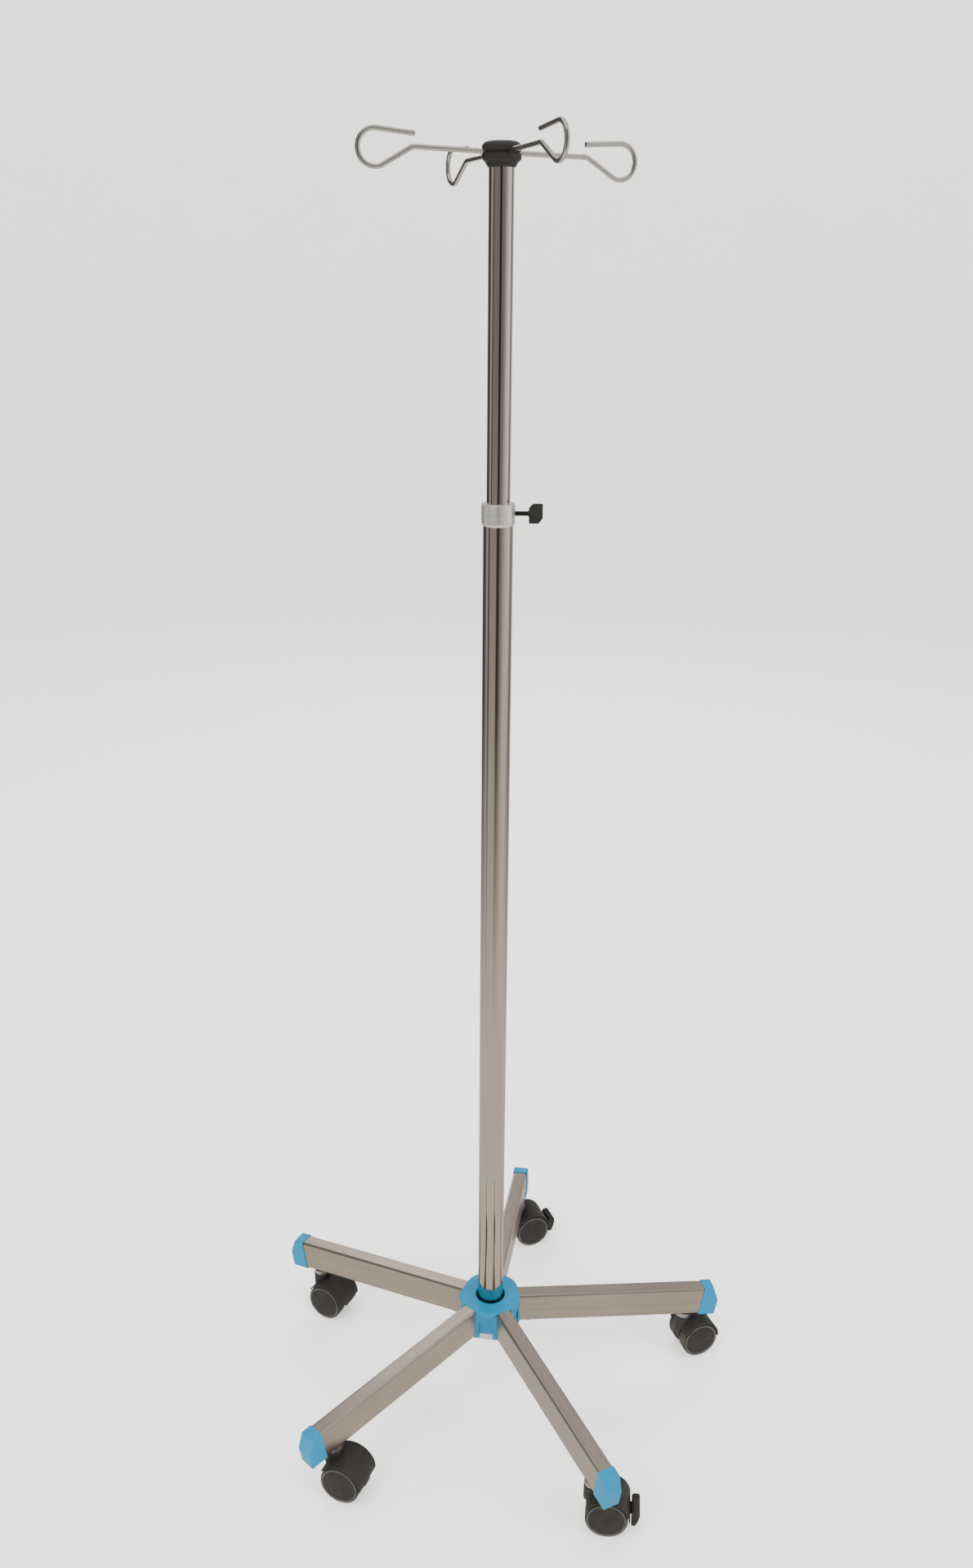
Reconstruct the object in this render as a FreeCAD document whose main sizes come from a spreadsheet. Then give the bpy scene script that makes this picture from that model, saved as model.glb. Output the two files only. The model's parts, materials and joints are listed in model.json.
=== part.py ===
import FreeCAD, Part
import math
import os
import Sketcher

# Wheeled infusion stand. The origin is on the floor under the pole, +Z is up and +Y runs along leg 1.
# Legs are numbered anticlockwise from above. Lengths are millimetres, angles degrees.

DOC = FreeCAD.newDocument("InfusionStand")
SIZE = DOC.addObject("Spreadsheet::Sheet", "Size")

DIMENSIONS = (
    # base: legs
    ("leg_count", 5),
    ("leg_first_azimuth", 90),
    ("leg_top_height", 127),
    ("leg_slope", 4.87),
    ("leg_width", 20),
    ("leg_height", 40),
    ("leg_wall", 1.2),
    ("leg_corner", 3),
    ("leg_start", 34),
    ("leg_end", 296),
    # base: end caps
    ("cap_start_top", 289.7),
    ("cap_start_bottom", 285.9),
    ("cap_end_top", 303.2),
    ("cap_nose", 310.9),
    ("cap_nose_depth", 18.5),
    ("cap_end_bottom", 308.6),
    ("cap_skin", 0.8),
    ("cap_round", 2),
    ("plug_start", 240),
    ("plug_clearance", 0.1),
    # base: hub
    ("hub_bottom", 83.6),
    ("hub_top", 125.2),
    ("hub_plate_height", 5.2),
    ("hub_plate_apothem", 37.3),
    ("hub_plate_corner", 23.7),
    ("hub_plate_round", 2),
    ("hub_wall_apothem", 36.3),
    ("hub_bore_radius", 18.5),
    ("panel_width", 18),
    ("panel_bottom", 90.2),
    ("panel_height", 15.8),
    ("panel_depth", 2),
    ("notch_depth", 3.6),
    ("core_top", 112),
    ("spigot_length", 30),
    ("base_plate_thickness", 2.5),
    ("base_plate_apothem", 34.8),
    ("tab_width", 17.4),
    ("tab_height", 6),
    ("tab_thickness", 2),
    ("screw_radius", 2.5),
    ("screw_head_radius", 4.5),
    ("screw_head_height", 2.5),
    ("screw_circle", 27),
    ("screw_length", 16),
    ("bolt_radius", 3),
    ("bolt_head_radius", 5),
    ("bolt_head_height", 4),
    ("bolt_reach", 54),
    ("bolt_length", 14),
    # casters
    ("caster_circle", 264),
    ("caster_trail", 17),
    ("wheel_radius", 25),
    ("wheel_inner_face", 6.8),
    ("wheel_outer_face", 22.5),
    ("wheel_bore_depth", 21),
    ("wheel_bevel", 2.2),
    ("axle_radius", 2.5),
    ("axle_half_length", 20.7),
    ("running_clearance", 0.05),
    ("hood_radius", 27.6),
    ("hood_inner_radius", 25.8),
    ("hood_half_width", 21.8),
    ("hood_round", 1),
    ("web_half_width", 6.3),
    ("neck_radius", 11),
    ("neck_bottom", 38),
    ("neck_top", 58.6),
    ("journal_radius", 4),
    ("journal_bottom", 28.6),
    ("journal_hole_bottom", 28),
    ("collar_bottom", 59.2),
    ("collar_radius", 10.5),
    ("stem_radius", 5.5),
    ("stem_top", 88),
    # brake pedals
    ("pedal_half_width", 13),
    ("pedal_inner_reach", 28.9),
    ("pedal_outer_reach", 38.6),
    ("pedal_drop", 13.5),
    ("pedal_rise", 9),
    ("pedal_slot_half_width", 5.4),
    ("pedal_slot_end", 34),
    ("pedal_slot_floor", 5.5),
    ("lug_margin", 1.9),
    ("hinge_half_width", 5),
    ("pedal_pivot_reach", 31),
    ("pedal_pivot_drop", 2.5),
    ("pedal_pin_radius", 1.25),
    # lower tube and clamp
    ("lower_tube_radius", 16),
    ("lower_tube_inner_radius", 14.8),
    ("lower_tube_bottom", 84),
    ("lower_tube_top", 1145),
    ("clamp_height", 1138.4),
    ("clamp_azimuth", 8.6),
    ("collar_low", 1126),
    ("collar_high", 1149),
    ("collar_outer_radius", 17.9),
    ("collar_mouth_radius", 12.75),
    ("collar_bevel", 2),
    ("bush_bottom", 1100),
    ("bush_top", 1144.8),
    ("window_radius", 3.7),
    ("pad_radius", 3.5),
    ("pad_inner_reach", 12.9),
    ("pad_thickness", 1.4),
    ("stud_radius", 2.5),
    ("stud_start_reach", 14.6),
    ("stud_end_reach", 40),
    ("wing_thickness", 4.6),
    ("wing_boss_radius", 3.2),
    ("wing_start_reach", 32),
    ("wing_end_reach", 46.6),
    ("wing_half_height", 10.3),
    ("wing_bevel", 4.3),
    # mast
    ("upper_tube_radius", 12.5),
    ("upper_tube_inner_radius", 11.3),
    ("upper_tube_bottom", 466),
    ("upper_tube_top", 1476),
    ("foot_flange_radius", 14),
    ("foot_flange_bottom", 464),
    ("foot_plug_length", 20),
    ("guide_ring_bottom", 466.3),
    ("guide_ring_height", 26),
    ("guide_ring_radius", 14.75),
    ("stop_ring_height", 4),
    ("ring_gap", 0.3),
    # head
    ("head_plug_bottom", 1454),
    ("head_bottom", 1468),
    ("head_parting", 1481),
    ("head_top", 1491),
    ("head_radius", 19.1),
    ("head_waist_radius", 17.3),
    ("head_flat_radius", 12),
    ("head_screw_radius", 2),
    ("head_screw_head_radius", 4),
    ("head_screw_head_height", 2.4),
    ("head_screw_bottom", 1462),
    # hooks
    ("hook_first_azimuth", 31.6),
    ("hook_wire_radius", 2.5),
    ("hook_inner_end", 4.5),
    ("hook_bend_reach", 88.4),
    ("hook_bend_radius", 8),
    ("hook_loop_reach", 127.5),
    ("hook_loop_drop", 2.5),
    ("hook_loop_radius", 16.3),
    ("hook_tip_reach", 88.6),
    ("hook_tip_rise", 11.3),
)

# Direction in which each caster trails from its swivel axis, as an azimuth.
CASTER_HEADINGS = {1: 30, 2: -20, 3: -13, 4: 3, 5: 30}
BRAKED_CASTERS = (1, 4)
# Angle by which each hook's arm rises from level.
HOOK_RISES = (-0.9, -1.5, 1.3, 2)

X_AXIS = FreeCAD.Vector(1, 0, 0)
Y_AXIS = FreeCAD.Vector(0, 1, 0)
Z_AXIS = FreeCAD.Vector(0, 0, 1)
BEYOND = "400"

nodes = []


# ---------------------------------------------------------------- sheet and placements

def fill_sheet():
    for row, (alias, number) in enumerate(DIMENSIONS, start=1):
        SIZE.set(f"A{row}", alias.replace("_", " "))
        SIZE.set(f"B{row}", str(number))
        SIZE.setAlias(f"B{row}", alias)
    DOC.recompute()


def value(expression):
    """Number that an expression over the sheet's aliases gives."""
    return float(SIZE.evalExpression(expression))


def size(text):
    """Turn a short expression, with @ before each alias, into a sheet expression."""
    return text.replace("@", "Size.")


def at(x, y, z):
    return FreeCAD.Placement(FreeCAD.Vector(x, y, z), FreeCAD.Rotation())


def turned(axis, degrees):
    return FreeCAD.Placement(FreeCAD.Vector(), FreeCAD.Rotation(axis, degrees))


def leg_azimuth(number):
    spacing = 360 / value("Size.leg_count")
    return value("Size.leg_first_azimuth") + spacing * (number - 1)


def leg_frame(number):
    """X runs down the leg's top face, Z is square to it, and X = 0 is on the pole's axis."""
    height = value("Size.leg_top_height")
    slope = turned(Y_AXIS, value("Size.leg_slope"))
    return at(0, 0, height) * turned(Z_AXIS, leg_azimuth(number)) * slope


def swivel_frame(number, heading):
    """On the floor under a caster's swivel axis, with X along the heading."""
    azimuth = math.radians(leg_azimuth(number))
    reach = value("Size.caster_circle")
    return at(reach * math.cos(azimuth), reach * math.sin(azimuth), 0) * turned(Z_AXIS, heading)


def caster_frame(number):
    return swivel_frame(number, CASTER_HEADINGS[number])


def clamp_frame():
    """On the clamp screw's axis, with Z pointing out of the pole along the screw."""
    height = value("Size.clamp_height")
    return at(0, 0, height) * turned(Z_AXIS, value("Size.clamp_azimuth")) * turned(Y_AXIS, 90)


# ---------------------------------------------------------------- features

def keep(feature, label):
    """Name a finished sub-part and list it for export."""
    feature.Label = label
    nodes.append(feature)
    return feature


def new_body(name, placement=FreeCAD.Placement()):
    body = DOC.addObject("PartDesign::Body", name)
    body.Placement = placement
    return body


def new_sketch(body, role, offset="0"):
    """Sketch on one of the body's origin planes, moved along the plane's normal by offset."""
    plane = next(plane for plane in body.Origin.OriginFeatures if plane.Role == role)
    sketch = body.newObject("Sketcher::SketchObject", f"{body.Name}_sketch")
    sketch.AttachmentSupport = [(plane, "")]
    sketch.MapMode = "FlatFace"
    if offset != "0":
        sketch.setExpression("AttachmentOffset.Base.z", size(offset))
    return sketch


def fix_coordinate(sketch, geometry, vertex, kind, axis, expression):
    if expression == "0":
        sketch.addConstraint(Sketcher.Constraint("PointOnObject", geometry, vertex, axis))
        return
    number = value(size(expression))
    index = sketch.addConstraint(Sketcher.Constraint(kind, -1, 1, geometry, vertex, number))
    sketch.setExpression(f"Constraints[{index}]", size(expression))


def fix_point(sketch, geometry, vertex, x, y):
    fix_coordinate(sketch, geometry, vertex, "DistanceX", -2, x)
    fix_coordinate(sketch, geometry, vertex, "DistanceY", -1, y)


def fix_radius(sketch, geometry, expression):
    constraint = Sketcher.Constraint("Radius", geometry, value(size(expression)))
    index = sketch.addConstraint(constraint)
    sketch.setExpression(f"Constraints[{index}]", size(expression))


def add_polygon(sketch, corners):
    """Closed outline of straight lines, each corner bound to a pair of expressions."""
    points = [FreeCAD.Vector(value(size(x)), value(size(y)), 0) for x, y in corners]
    first = sketch.GeometryCount
    count = len(points)
    for index in range(count):
        sketch.addGeometry(Part.LineSegment(points[index], points[(index + 1) % count]))
    for index in range(count):
        following = first + (index + 1) % count
        sketch.addConstraint(Sketcher.Constraint("Coincident", first + index, 2, following, 1))
    for index, (x, y) in enumerate(corners):
        fix_point(sketch, first + index, 1, x, y)


def add_circle(sketch, radius, x="0", y="0"):
    centre = FreeCAD.Vector(value(size(x)), value(size(y)), 0)
    circle = sketch.addGeometry(Part.Circle(centre, Z_AXIS, value(size(radius))))
    fix_point(sketch, circle, 3, x, y)
    fix_radius(sketch, circle, radius)


def rectangle(width, low, high):
    """Corners of a rectangle centred across, from low to high."""
    half = f"({width}) / 2"
    return ((f"-{half}", low), (half, low), (half, high), (f"-{half}", high))


def five_sides(apothem, first_azimuth):
    """Corners of a regular outline with one side per leg, its first corner at first_azimuth."""
    count = int(value("Size.leg_count"))
    corners = []
    for index in range(count):
        angle = f"({first_azimuth} + {index} * 360 / @leg_count) * 1 deg"
        radius = f"({apothem}) / cos(180 / @leg_count * 1 deg)"
        corners.append((f"{radius} * cos({angle})", f"{radius} * sin({angle})"))
    return corners


def extrude(kind, body, sketch, length, side="One side", backwards=False):
    feature = body.newObject(f"PartDesign::{kind}", f"{body.Name}_{kind.lower()}")
    feature.Profile = sketch
    feature.SideType = side
    feature.Reversed = backwards
    feature.setExpression("Length", size(length))
    sketch.Visibility = False
    return feature


def pad(body, sketch, length, side="One side", backwards=False):
    return extrude("Pad", body, sketch, length, side, backwards)


def pocket(body, sketch, length, side="One side", backwards=False):
    """Pocket that must take material away."""
    DOC.recompute()
    before = body.Shape.Volume
    feature = extrude("Pocket", body, sketch, length, side, backwards)
    DOC.recompute()
    if body.Shape.Volume > before - 1e-3:
        raise RuntimeError(f"{feature.Name} cuts nothing")
    return feature


def revolve(body, sketch):
    feature = body.newObject("PartDesign::Revolution", f"{body.Name}_revolution")
    feature.Profile = sketch
    feature.ReferenceAxis = (sketch, ["V_Axis"])
    feature.Angle = 360
    return feature


def round_edges(body, radius, wanted):
    """Fillet the edges of the body's last feature that the test picks."""
    DOC.recompute()
    base = body.Tip
    names = []
    for index, edge in enumerate(base.Shape.Edges, start=1):
        if not edge.Degenerated and wanted(edge):
            names.append(f"Edge{index}")
    fillet = body.newObject("PartDesign::Fillet", f"{body.Name}_fillet")
    fillet.Base = (base, names)
    fillet.setExpression("Radius", size(radius))
    return fillet


def is_along(edge, axis):
    """True for a straight edge parallel to axis."""
    if not isinstance(edge.Curve, Part.Line):
        return False
    return abs(edge.Curve.Direction.dot(axis)) > 0.999


def is_round(edge, radius):
    """True for a circular edge of this radius."""
    return isinstance(edge.Curve, Part.Circle) and abs(edge.Curve.Radius - radius) < 1e-3


def box(length, width, height, placement):
    feature = DOC.addObject("Part::Box", "box")
    feature.setExpression("Length", size(length))
    feature.setExpression("Width", size(width))
    feature.setExpression("Height", size(height))
    feature.Placement = placement
    return feature


def cylinder(radius, height, placement):
    feature = DOC.addObject("Part::Cylinder", "cylinder")
    feature.setExpression("Radius", size(radius))
    feature.setExpression("Height", size(height))
    feature.Placement = placement
    return feature


def fused(features):
    fusion = DOC.addObject("Part::MultiFuse", "fusion")
    fusion.Shapes = features
    return fusion


def cut(base, tools):
    difference = DOC.addObject("Part::Cut", f"{base.Name}_cut")
    difference.Base = base
    difference.Tool = tools[0] if len(tools) == 1 else fused(tools)
    return difference


def turned_part(name, profile, placement=FreeCAD.Placement()):
    """Body turned about its own Z axis from a (radius, height) outline."""
    body = new_body(name, placement)
    sketch = new_sketch(body, "XZ_Plane")
    add_polygon(sketch, profile)
    revolve(body, sketch)
    return body


def tube(name, outer, inner, bottom, top):
    """Round tube on the pole's axis."""
    body = new_body(name)
    sketch = new_sketch(body, "XY_Plane", bottom)
    add_circle(sketch, outer)
    add_circle(sketch, inner)
    pad(body, sketch, f"{top} - {bottom}")
    return body


# ---------------------------------------------------------------- legs and end caps

def stem_hole(number, clearance):
    """Upright tool that opens the leg or its plug for the caster's stem."""
    frame = swivel_frame(number, leg_azimuth(number))
    lift = value("Size.collar_bottom")
    return cylinder(f"@stem_radius + {clearance}", "@stem_top - @collar_bottom", frame * at(0, 0, lift))


def bolt_frame(number):
    """Where a leg bolt's head meets the leg's underside, with Z pointing into the leg."""
    return leg_frame(number) * at(value("Size.bolt_reach"), 0, value("-Size.leg_height"))


def bolt_shank(number):
    return cylinder("@bolt_radius", "@bolt_length", bolt_frame(number))


def make_leg(number):
    body = new_body(f"leg_tube_{number}", leg_frame(number))
    outline = new_sketch(body, "YZ_Plane", "@leg_start")
    add_polygon(outline, rectangle("@leg_width", "-@leg_height", "0"))
    pad(body, outline, "@leg_end - @leg_start")
    round_edges(body, "@leg_corner", lambda edge: is_along(edge, X_AXIS))
    hollow = new_sketch(body, "YZ_Plane", "@leg_start")
    add_polygon(hollow, rectangle("@leg_width - 2 * @leg_wall", "-@leg_height + @leg_wall", "-@leg_wall"))
    pocket(body, hollow, BEYOND, backwards=True)
    inner = value("Size.leg_width / 2 - Size.leg_wall")
    round_edges(
        body,
        "@leg_corner - @leg_wall",
        lambda edge: is_along(edge, X_AXIS) and abs(abs(edge.Vertexes[0].Y) - inner) < 1e-3,
    )
    keep(cut(body, [stem_hole(number, "0.3"), bolt_shank(number)]), f"leg_{number}")


def make_end_cap(number):
    body = new_body(f"cap_shell_{number}", leg_frame(number))
    side = new_sketch(body, "XZ_Plane")
    add_polygon(side, (
        ("@cap_start_top", "@cap_skin"),
        ("@cap_end_top", "@cap_skin"),
        ("@cap_nose", "-@cap_nose_depth"),
        ("@cap_end_bottom", "-@leg_height - @cap_skin"),
        ("@cap_start_bottom", "-@leg_height - @cap_skin"),
    ))
    pad(body, side, "@leg_width + 2 * @cap_skin", side="Symmetric")
    nose = value("Size.cap_end_top - 1")
    round_edges(
        body,
        "@cap_round",
        lambda edge: min(vertex.X for vertex in edge.Vertexes) > nose or is_along(edge, X_AXIS),
    )
    sleeve = new_sketch(body, "YZ_Plane", "@leg_end")
    add_polygon(sleeve, rectangle("@leg_width", "-@leg_height", "0"))
    pocket(body, sleeve, BEYOND)
    plug = new_sketch(body, "YZ_Plane", "@plug_start")
    gap = "(@leg_wall + @plug_clearance)"
    add_polygon(plug, rectangle(f"@leg_width - 2 * {gap}", f"-@leg_height + {gap}", f"-{gap}"))
    pad(body, plug, "@leg_end - @plug_start")
    inner = value("Size.leg_width / 2 - Size.leg_wall - Size.plug_clearance")
    round_edges(
        body,
        "@leg_corner - @leg_wall",
        lambda edge: is_along(edge, X_AXIS) and abs(abs(edge.Vertexes[0].Y) - inner) < 1e-3,
    )
    keep(cut(body, [stem_hole(number, "0")]), f"end_cap_{number}")


# ---------------------------------------------------------------- hub

def leg_numbers():
    return range(1, int(value("Size.leg_count")) + 1)


def between_legs(number):
    """Turned to face halfway between a leg and the next one."""
    return turned(Z_AXIS, leg_azimuth(number) + value("180 / Size.leg_count"))


def screw_shank(number):
    bottom = value("Size.hub_bottom - Size.base_plate_thickness")
    place = between_legs(number) * at(value("Size.screw_circle"), 0, bottom)
    return cylinder("@screw_radius", "@screw_length", place)


def spigot(number):
    """Block of the hub's moulding that fills the inner end of a leg."""
    gap = "(@leg_wall + @plug_clearance)"
    clear = value("Size.leg_wall + Size.plug_clearance")
    side = clear - value("Size.leg_width / 2")
    corner = at(value("Size.leg_start") - 1, side, clear - value("Size.leg_height"))
    return box(
        "@spigot_length + 1",
        f"@leg_width - 2 * {gap}",
        f"@leg_height - 2 * {gap}",
        leg_frame(number) * corner,
    )


def make_hub_shell():
    body = new_body("hub_solid")
    plate = new_sketch(body, "XY_Plane", "@hub_top - @hub_plate_height")
    add_polygon(plate, five_sides("@hub_plate_apothem", "@leg_first_azimuth + 180 / @leg_count"))
    pad(body, plate, "@hub_plate_height")
    round_edges(body, "@hub_plate_corner", lambda edge: is_along(edge, Z_AXIS))
    rim = value("Size.hub_top")
    round_edges(body, "@hub_plate_round", lambda edge: min(v.Z for v in edge.Vertexes) > rim - 0.01)
    walls = new_sketch(body, "XY_Plane", "@hub_bottom")
    add_polygon(walls, five_sides("@hub_wall_apothem", "@leg_first_azimuth"))
    pad(body, walls, "@hub_top - @hub_plate_height - @hub_bottom")
    bore = new_sketch(body, "XY_Plane", "@hub_bottom")
    add_circle(bore, "@hub_bore_radius")
    pocket(body, bore, BEYOND, backwards=True)
    mouth = value("Size.hub_bore_radius")
    round_edges(body, "1", lambda edge: is_round(edge, mouth) and edge.Vertexes[0].Z > rim - 0.01)

    wall = value("Size.hub_wall_apothem")
    side = value("-Size.panel_width / 2")
    tools = []
    for number in leg_numbers():
        start = at(value("Size.leg_start"), value("-Size.leg_width / 2"), value("-Size.leg_height"))
        tools.append(box("@leg_end", "@leg_width", "@leg_height", leg_frame(number) * start))
        panel = at(wall - value("Size.panel_depth"), side, value("Size.panel_bottom"))
        notch = at(wall - value("Size.notch_depth"), side, value("Size.hub_bottom - 1"))
        tools.append(box("10", "@panel_width", "@panel_height", between_legs(number) * panel))
        opening = "@panel_bottom - @hub_bottom + 1"
        tools.append(box("10", "@panel_width", opening, between_legs(number) * notch))
    shell = fused([cut(body, tools)] + [spigot(number) for number in leg_numbers()])
    holes = [bolt_shank(number) for number in leg_numbers()]
    holes += [screw_shank(number) for number in leg_numbers()]
    keep(cut(shell, holes), "hub_shell")


def make_base_plate():
    body = new_body("plate_blank")
    outline = new_sketch(body, "XY_Plane", "@hub_bottom")
    add_polygon(outline, five_sides("@base_plate_apothem", "@leg_first_azimuth"))
    pad(body, outline, "@base_plate_thickness", backwards=True)
    reach = value("Size.base_plate_apothem - Size.tab_thickness")
    low = value("Size.hub_bottom - Size.base_plate_thickness")
    tabs = []
    for number in leg_numbers():
        place = between_legs(number) * at(reach, value("-Size.tab_width / 2"), low)
        tabs.append(box("@tab_thickness", "@tab_width", "@tab_height + @base_plate_thickness", place))
    whole = fused([body] + tabs)
    keep(cut(whole, [screw_shank(number) for number in leg_numbers()]), "hub_base_plate")


def keep_group(members, label):
    """One node of separate, identical fasteners."""
    group = DOC.addObject("Part::Compound", label)
    group.Links = members
    keep(group, label)


def make_fasteners():
    screws = []
    bolts = []
    for number in leg_numbers():
        shank = screw_shank(number)
        sink = shank.Placement * at(0, 0, value("-Size.screw_head_height"))
        screws.append(fused([shank, cylinder("@screw_head_radius", "@screw_head_height", sink)]))
        sink = bolt_frame(number) * at(0, 0, value("-Size.bolt_head_height"))
        head = cylinder("@bolt_head_radius", "@bolt_head_height", sink)
        bolts.append(fused([bolt_shank(number), head]))
    keep_group(screws, "hub_screws")
    keep_group(bolts, "leg_bolts")


# ---------------------------------------------------------------- casters

def make_stem(number):
    """Swivel pin with the levelling collar that sits against the sloping leg."""
    body = new_body(f"stem_{number}", swivel_frame(number, leg_azimuth(number)))
    collar = new_sketch(body, "XY_Plane", "@collar_bottom")
    add_circle(collar, "@collar_radius")
    pad(body, collar, "12")
    slope = new_sketch(body, "XZ_Plane")
    under = "(@leg_top_height - @leg_height / cos(@leg_slope * 1 deg)"
    under += " - (@caster_circle {shift}) * tan(@leg_slope * 1 deg))"
    add_polygon(slope, (
        ("-20", under.format(shift="- 20")),
        ("20", under.format(shift="+ 20")),
        ("20", "@stem_top"),
        ("-20", "@stem_top"),
    ))
    pocket(body, slope, "40", side="Symmetric")
    shaft = new_sketch(body, "XY_Plane", "@collar_bottom")
    add_circle(shaft, "@stem_radius")
    pad(body, shaft, "@stem_top - @collar_bottom")
    journal = new_sketch(body, "XY_Plane", "@collar_bottom")
    add_circle(journal, "@journal_radius")
    pad(body, journal, "@collar_bottom - @journal_bottom", backwards=True)
    keep(body, f"caster_stem_{number}")


def add_drum_cut(body, sign, add_outline):
    """Pocket from one side of the hood's web outwards."""
    sketch = new_sketch(body, "XZ_Plane", f"{sign} * @web_half_width")
    add_outline(sketch)
    pocket(body, sketch, "@hood_half_width", backwards=(sign > 0))


def make_hood(number):
    body = new_body(f"hood_{number}", caster_frame(number))
    drum = new_sketch(body, "XZ_Plane")
    add_circle(drum, "@hood_radius", "@caster_trail", "@wheel_radius")
    pad(body, drum, "2 * @hood_half_width", side="Symmetric")
    rim = value("Size.hood_radius")
    round_edges(body, "@hood_round", lambda edge: is_round(edge, rim))
    neck = new_sketch(body, "XY_Plane", "@neck_bottom")
    add_circle(neck, "@neck_radius")
    pad(body, neck, "@neck_top - @neck_bottom")
    top = value("Size.neck_top")
    neck_radius = value("Size.neck_radius")
    round_edges(
        body,
        "@hood_round",
        lambda edge: is_round(edge, neck_radius) and edge.Vertexes[0].Z > top - 0.01,
    )

    for sign in (1, -1):
        add_drum_cut(body, sign, lambda sketch: add_circle(
            sketch, "@hood_inner_radius", "@caster_trail", "@wheel_radius"))
        add_drum_cut(body, sign, lambda sketch: add_polygon(sketch, (
            ("@caster_trail", "@wheel_radius"),
            ("@caster_trail - 40", "@wheel_radius + 40 * tan(30 deg)"),
            ("@caster_trail - 40", "@wheel_radius - 40"),
            ("@caster_trail + 40", "@wheel_radius - 40"),
            ("@caster_trail + 40", "@wheel_radius"),
        )))
    under = new_sketch(body, "XZ_Plane")
    add_polygon(under, (
        ("@caster_trail + 40", "@wheel_radius - 1"),
        ("@caster_trail + 9", "@wheel_radius - 9"),
        ("@caster_trail - 9", "@wheel_radius - 9"),
        ("-@journal_radius - 3.5", "@wheel_radius - 1"),
        ("-@journal_radius - 3.5", "@neck_bottom"),
        ("-30", "@neck_bottom"),
        ("-30", "-10"),
        ("@caster_trail + 40", "-10"),
    ))
    pocket(body, under, "3 * @hood_half_width", side="Symmetric")
    if number in BRAKED_CASTERS:
        add_pedal_hinge(body)
    swivel = new_sketch(body, "XY_Plane", "@journal_hole_bottom")
    add_circle(swivel, "@journal_radius + @running_clearance")
    pocket(body, swivel, BEYOND, backwards=True)
    axle = new_sketch(body, "XZ_Plane")
    add_circle(axle, "@axle_radius", "@caster_trail", "@wheel_radius")
    pocket(body, axle, "3 * @web_half_width", side="Symmetric")
    keep(body, f"caster_{number}_hood")


def add_pedal_hinge(body):
    """Lug on the hood's trailing edge, with the bore that the pedal's pin turns in."""
    lug = new_sketch(body, "XZ_Plane")
    pivot_x = "@caster_trail + @pedal_pivot_reach"
    pivot_z = "@wheel_radius - @pedal_pivot_drop"
    add_polygon(lug, (
        ("@caster_trail + @web_half_width", "@wheel_radius + 5"),
        ("@caster_trail + @hood_radius", "@wheel_radius + 5"),
        (f"{pivot_x} + @lug_margin", f"{pivot_z} + @lug_margin - 0.3"),
        (f"{pivot_x} + @lug_margin", f"{pivot_z} - @lug_margin"),
        ("@caster_trail + @web_half_width", f"{pivot_z} - @lug_margin"),
    ))
    pad(body, lug, "2 * @hinge_half_width", side="Symmetric")
    bore = new_sketch(body, "XZ_Plane")
    add_circle(bore, "@pedal_pin_radius + @running_clearance", pivot_x, pivot_z)
    pocket(body, bore, "3 * @hinge_half_width", side="Symmetric")


def make_axle(number):
    placement = caster_frame(number) * at(value("Size.caster_trail"), 0, value("Size.wheel_radius"))
    body = new_body(f"axle_{number}", placement)
    sketch = new_sketch(body, "XZ_Plane")
    add_circle(sketch, "@axle_radius")
    pad(body, sketch, "2 * @axle_half_length", side="Symmetric")
    keep(body, f"caster_{number}_axle")


def make_wheel(number, side, quarter_turn):
    """Nylon wheel with a blind bore; its Z axis points out of the caster."""
    middle = at(value("Size.caster_trail"), 0, value("Size.wheel_radius"))
    placement = caster_frame(number) * middle * turned(X_AXIS, quarter_turn)
    bore = "@axle_radius + @running_clearance"
    profile = (
        (bore, "@wheel_inner_face"),
        ("@wheel_radius - 1", "@wheel_inner_face"),
        ("@wheel_radius", "@wheel_inner_face + 1"),
        ("@wheel_radius", "@wheel_outer_face - @wheel_bevel"),
        ("@wheel_radius - 0.8", "@wheel_outer_face - 0.5"),
        ("@wheel_radius - @wheel_bevel", "@wheel_outer_face"),
        ("@wheel_radius - @wheel_bevel - 1.2", "@wheel_outer_face - 0.5"),
        ("9", "@wheel_outer_face + 0.5"),
        ("0", "@wheel_outer_face + 0.7"),
        ("0", "@wheel_bore_depth"),
        (bore, "@wheel_bore_depth"),
    )
    body = turned_part(f"wheel_{side}_{number}", profile, placement)
    keep(body, f"caster_{number}_wheel_{side}")


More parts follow.
